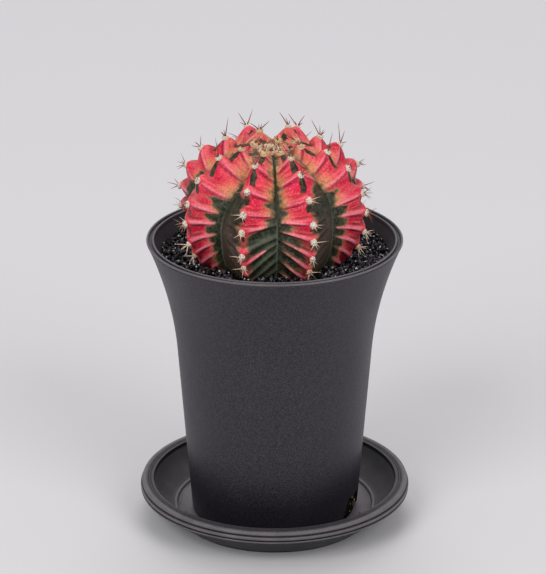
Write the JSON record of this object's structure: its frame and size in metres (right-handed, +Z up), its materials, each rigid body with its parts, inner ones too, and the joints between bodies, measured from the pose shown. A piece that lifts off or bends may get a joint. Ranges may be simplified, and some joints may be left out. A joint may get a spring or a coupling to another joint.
{
  "type": "potted moon cactus",
  "caption": "Globular ribbed cactus with a variegated red and green body and short spines, in a flared plastic pot topped with black gravel, standing in a round saucer.",
  "frame": {"origin": "centre of the saucer's foot, on the surface that the object stands on", "axes": "+Z up along the pot's axis, -Y towards the front, +X to the right seen from the front"},
  "size_m": [0.086, 0.086, 0.1326],
  "materials": {
    "saucer_plastic": "satin",
    "pot_plastic": "matte",
    "potting_mix": "matte",
    "black_gravel": "matte",
    "cactus_skin": "satin"
  },
  "bodies": {
    "root": {"saucer": "saucer_plastic", "pot": "pot_plastic", "potting_mix": "potting_mix", "gravel_top_dressing": "black_gravel", "cactus": "cactus_skin"}
  },
  "joints": []
}
